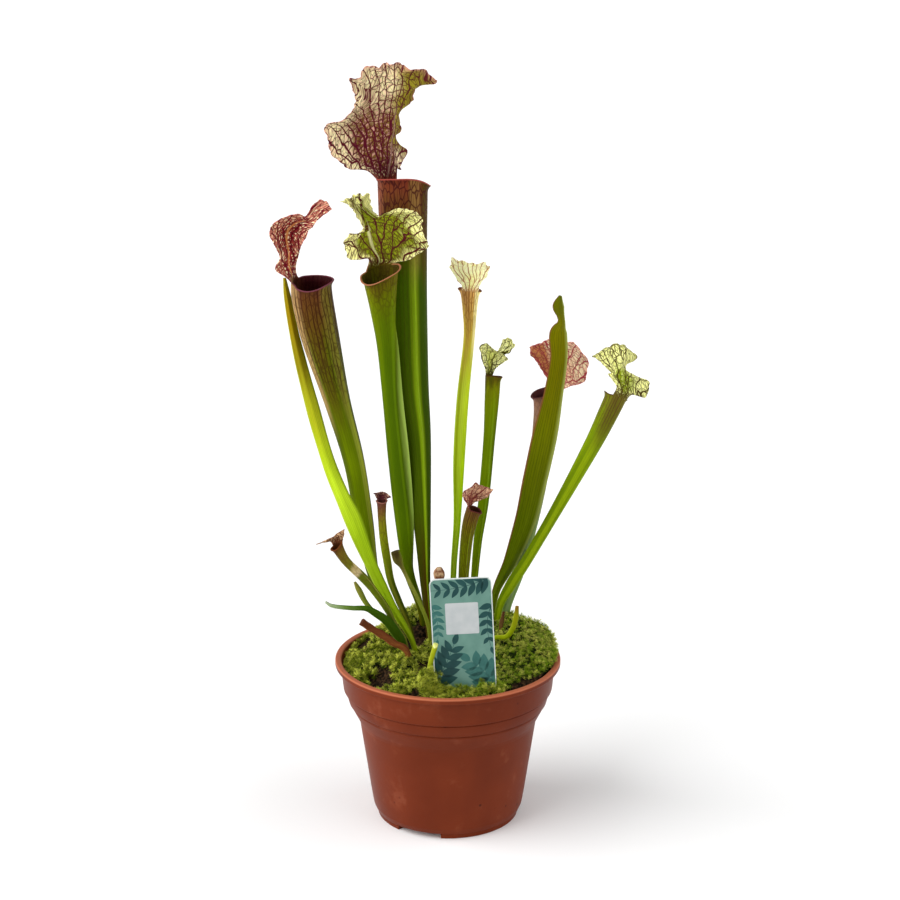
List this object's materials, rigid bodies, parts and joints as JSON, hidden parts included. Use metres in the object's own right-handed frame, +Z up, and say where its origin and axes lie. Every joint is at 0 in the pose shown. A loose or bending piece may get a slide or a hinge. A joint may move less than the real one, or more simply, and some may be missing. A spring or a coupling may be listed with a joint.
{
  "type": "potted pitcher plant",
  "caption": "Hooded pitcher plant with slender veined tubes, flat leaves and moss, growing in a round plastic nursery pot with a plain plant label.",
  "frame": {"origin": "centre of the pot's base, on the ground", "axes": "+Z up along the pot's axis and the plant's height, -Y towards the front of the plant"},
  "size_m": [0.1944, 0.12, 0.399],
  "materials": {
    "pot_plastic": "satin terracotta-coloured plastic",
    "potting_mix": "dark, crumbly and matt",
    "moss": "matt and tufted",
    "rhizome": "matt and rough",
    "label_card": "satin teal card with a white edge",
    "tall_pitcher": "cream hood with a maroon net of veins, maroon to green tube",
    "front_pitcher": "yellow-green hood with dark veins, green tube",
    "left_pitcher": "crimson hood with cream spots, brown to green tube",
    "pale_pitcher": "cream crown with tan veins, lime tube",
    "green_pitcher": "cream-green hood with dark veins, green tube",
    "brown_pitcher": "dusty red-brown hood, olive tube",
    "pink_pitcher": "pink and cream netted hood, tan tube",
    "leaning_pitcher": "pale green cells in a dark net, green tube",
    "green_leaf": "satin green blade",
    "dark_leaf": "satin dark green blade",
    "olive_leaf": "satin olive blade with a pale ridge",
    "old_tissue": "olive to brown, dried at the top",
    "dry_tissue": "dry, brown and matt",
    "young_tissue": "satin yellow-green"
  },
  "bodies": {
    "root": {"pot": "pot_plastic", "potting_mix": "potting_mix", "moss_carpet": "moss", "rhizome": "rhizome", "plant_label": "label_card", "tall_pitcher": "tall_pitcher", "front_pitcher": "front_pitcher", "left_pitcher": "left_pitcher", "pale_pitcher": "pale_pitcher", "slim_green_pitcher": "green_pitcher", "small_brown_pitcher": "brown_pitcher", "red_pitcher": "pink_pitcher", "right_pitcher": "leaning_pitcher", "old_pitcher": "old_tissue", "thin_pitcher": "old_tissue", "sword_leaf": "green_leaf", "broad_leaf": "olive_leaf", "side_leaf": "green_leaf", "low_leaf": "dark_leaf", "dead_stalk": "dry_tissue", "dried_stem": "old_tissue", "dry_knob": "dry_tissue", "cut_shoot": "young_tissue", "young_shoot": "young_tissue", "dry_stub": "dry_tissue"}
  },
  "joints": []
}
